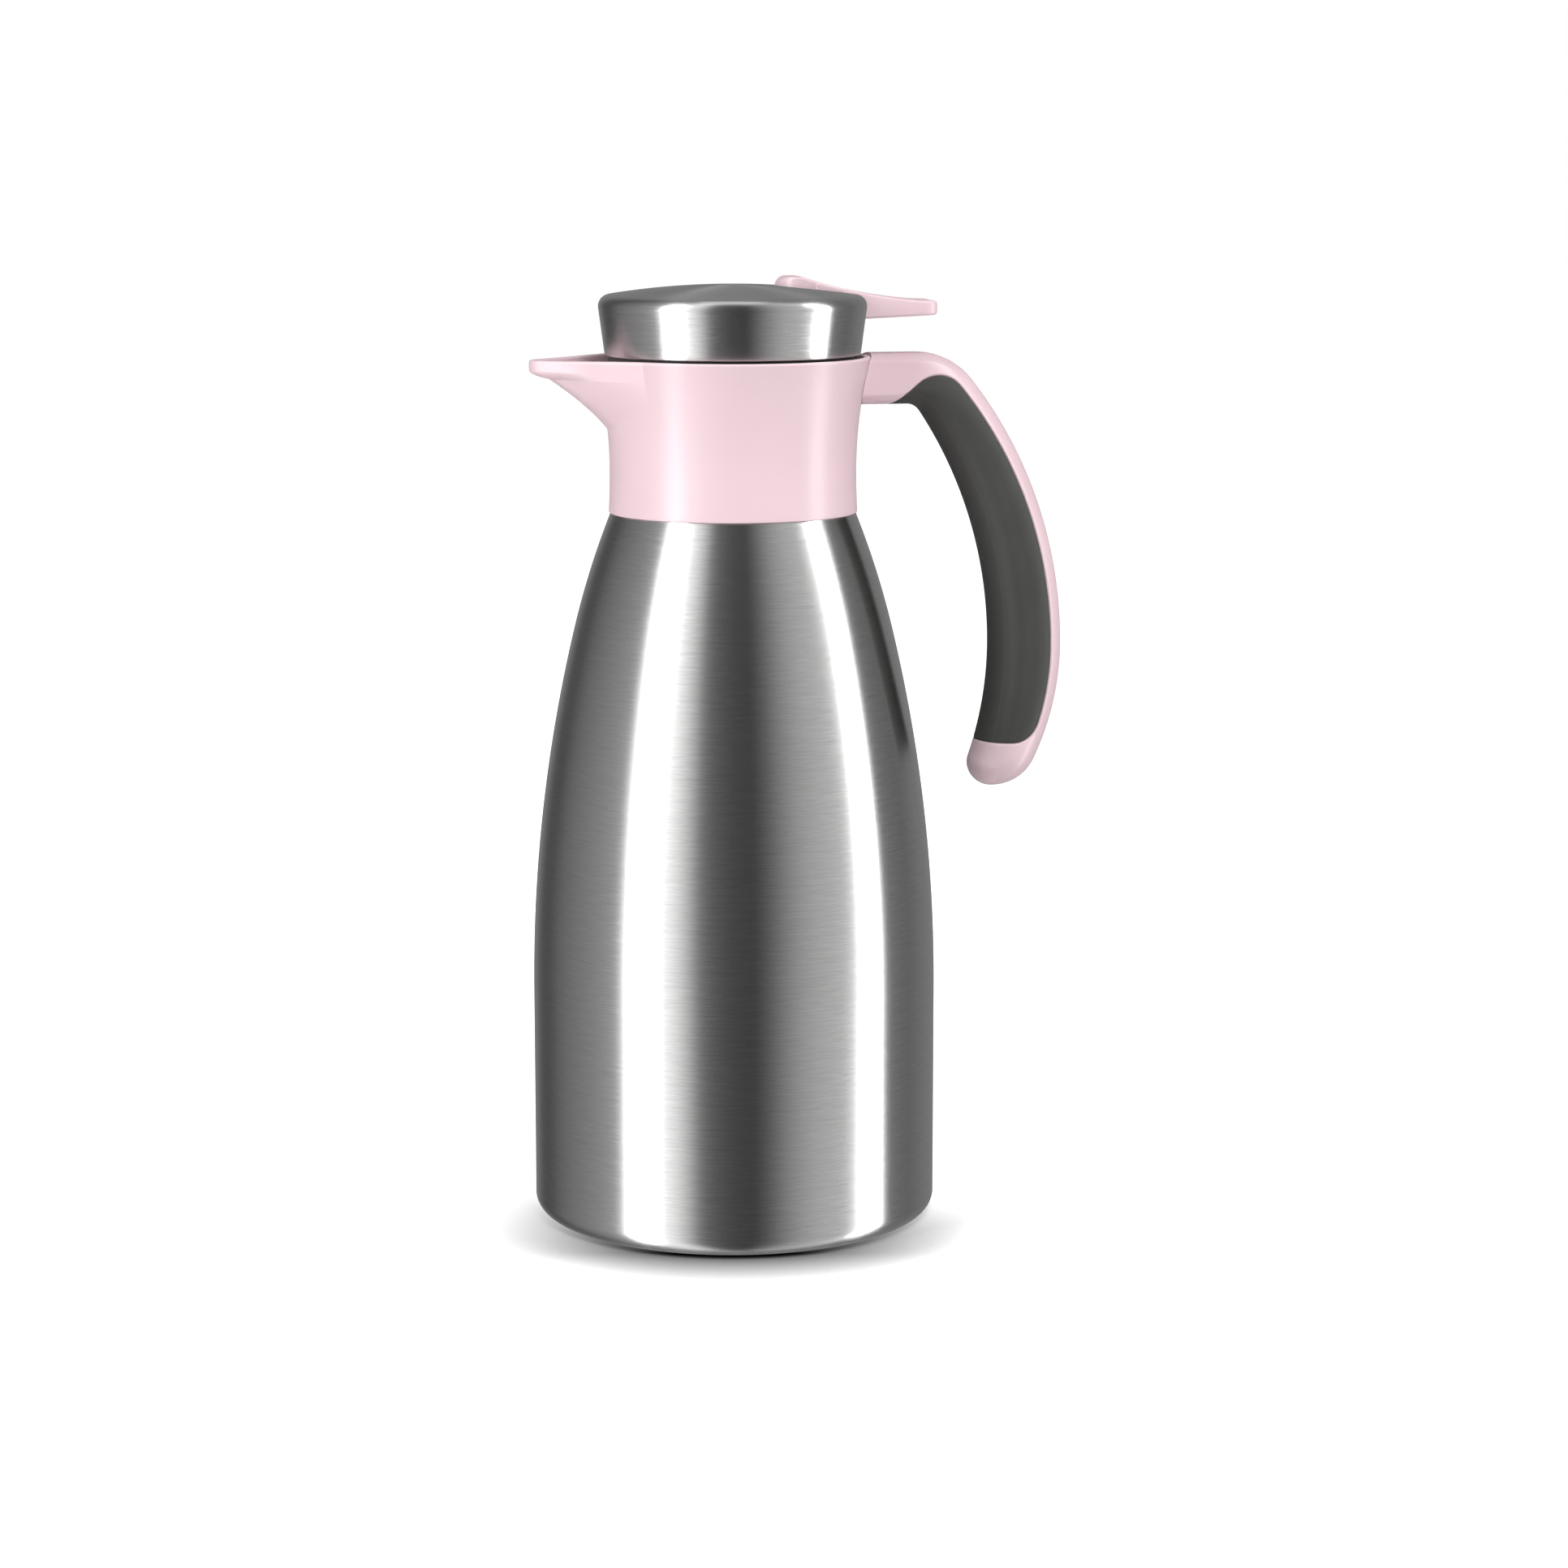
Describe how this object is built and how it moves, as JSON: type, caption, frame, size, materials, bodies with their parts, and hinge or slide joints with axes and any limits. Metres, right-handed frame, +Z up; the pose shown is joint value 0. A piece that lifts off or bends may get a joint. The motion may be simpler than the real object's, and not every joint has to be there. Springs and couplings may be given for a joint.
{
  "type": "thermal carafe",
  "caption": "Tall double-wall steel vacuum jug with a plastic collar and spout, a hook handle with a soft grip, and a screw-in steel-capped closure whose thumb lever opens a valve.",
  "frame": {"origin": "middle of the base disc's underside, on the standing plane", "axes": "+Z up along the jug's axis, +X towards the handle, spout at -X"},
  "size_m": [0.1485, 0.112, 0.2605],
  "materials": {
    "brushed_steel": "brushed round the axis",
    "plain_steel": "drawn, plain",
    "pink_plastic": "satin",
    "grip_rubber": "soft satin",
    "inner_plastic": "matt",
    "silicone": "matt",
    "fastener_steel": "turned",
    "solder": "dull",
    "getter_metal": "sintered"
  },
  "bodies": {
    "jug": {"outer_shell": "brushed_steel", "inner_liner": "plain_steel", "shell_bottom": "plain_steel", "vacuum_seal": "solder", "getter": "getter_metal", "base_plate": "plain_steel", "neck_gasket": "silicone", "neck_sleeve": "inner_plastic", "collar": "pink_plastic", "handle_frame": "pink_plastic", "soft_grip": "grip_rubber", "handle_screws": "fastener_steel"},
    "seal": {"neck_seal": "silicone"},
    "closure": {"stopper_body": "inner_plastic", "stopper_seat": "inner_plastic", "stem_seal": "silicone", "valve_spring": "fastener_steel", "lid_liner": "inner_plastic", "lid_cap": "brushed_steel", "liner_screws": "fastener_steel", "lever_pin": "fastener_steel"},
    "lever": {"thumb_lever": "pink_plastic"},
    "valve": {"valve_stem": "fastener_steel", "valve_disc": "inner_plastic", "valve_seal": "silicone", "valve_screw": "fastener_steel"}
  },
  "joints": [
    {"name": "closure_rise", "type": "slide", "parent": "jug", "child": "seal", "axis": [0, 0, 1], "range_m": [0, 0.006]},
    {"name": "closure_turn", "type": "hinge", "parent": "seal", "child": "closure", "pos_m": [0, 0, 0.215], "axis": [0, 0, 1], "range_deg": [0, 270]},
    {"name": "lever_press", "type": "hinge", "parent": "closure", "child": "lever", "pos_m": [0.02, 0, 0.253], "axis": [0, 1, 0], "range_deg": [0, 12.6]},
    {"name": "valve_lift", "type": "slide", "parent": "closure", "child": "valve", "axis": [0, 0, 1], "range_m": [0, 0.0042], "stiffness_N_per_m": 5, "springref_m": -0.005, "deforming": ["valve_spring"]}
  ],
  "couplings": [
    {"joint": "closure_turn", "follows": "closure_rise", "rad_per_m": 785.4},
    {"joint": "lever_press", "follows": "valve_lift", "rad_per_m": 50}
  ]
}
